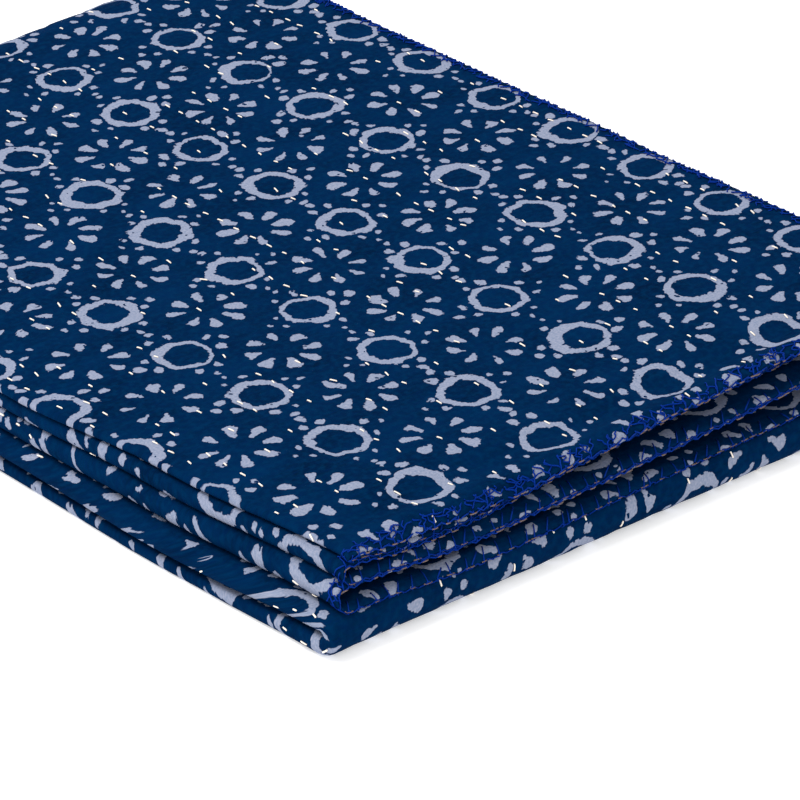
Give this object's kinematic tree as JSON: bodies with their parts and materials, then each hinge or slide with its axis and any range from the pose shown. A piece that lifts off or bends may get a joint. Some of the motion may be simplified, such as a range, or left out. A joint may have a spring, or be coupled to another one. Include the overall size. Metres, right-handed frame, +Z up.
{
  "type": "folded kantha throw",
  "caption": "Quilted cotton throw folded into a flat pile, with overlocked edges, running stitches and a printed ring and flower pattern.",
  "frame": {"origin": "on the resting surface, under the middle of the folded pile", "axes": "+X from the folded side to the open side, +Y from the front of the pile to its back, +Z up"},
  "size_m": [0.3066, 0.4374, 0.0396],
  "materials": {
    "cloth": "matt cotton, dark indigo with a pale resist print",
    "running_thread": "cream cotton thread",
    "overlock_thread": "bright blue polyester thread, slight sheen"
  },
  "bodies": {
    "root": {"throw_cloth": "cloth"}
  },
  "joints": []
}
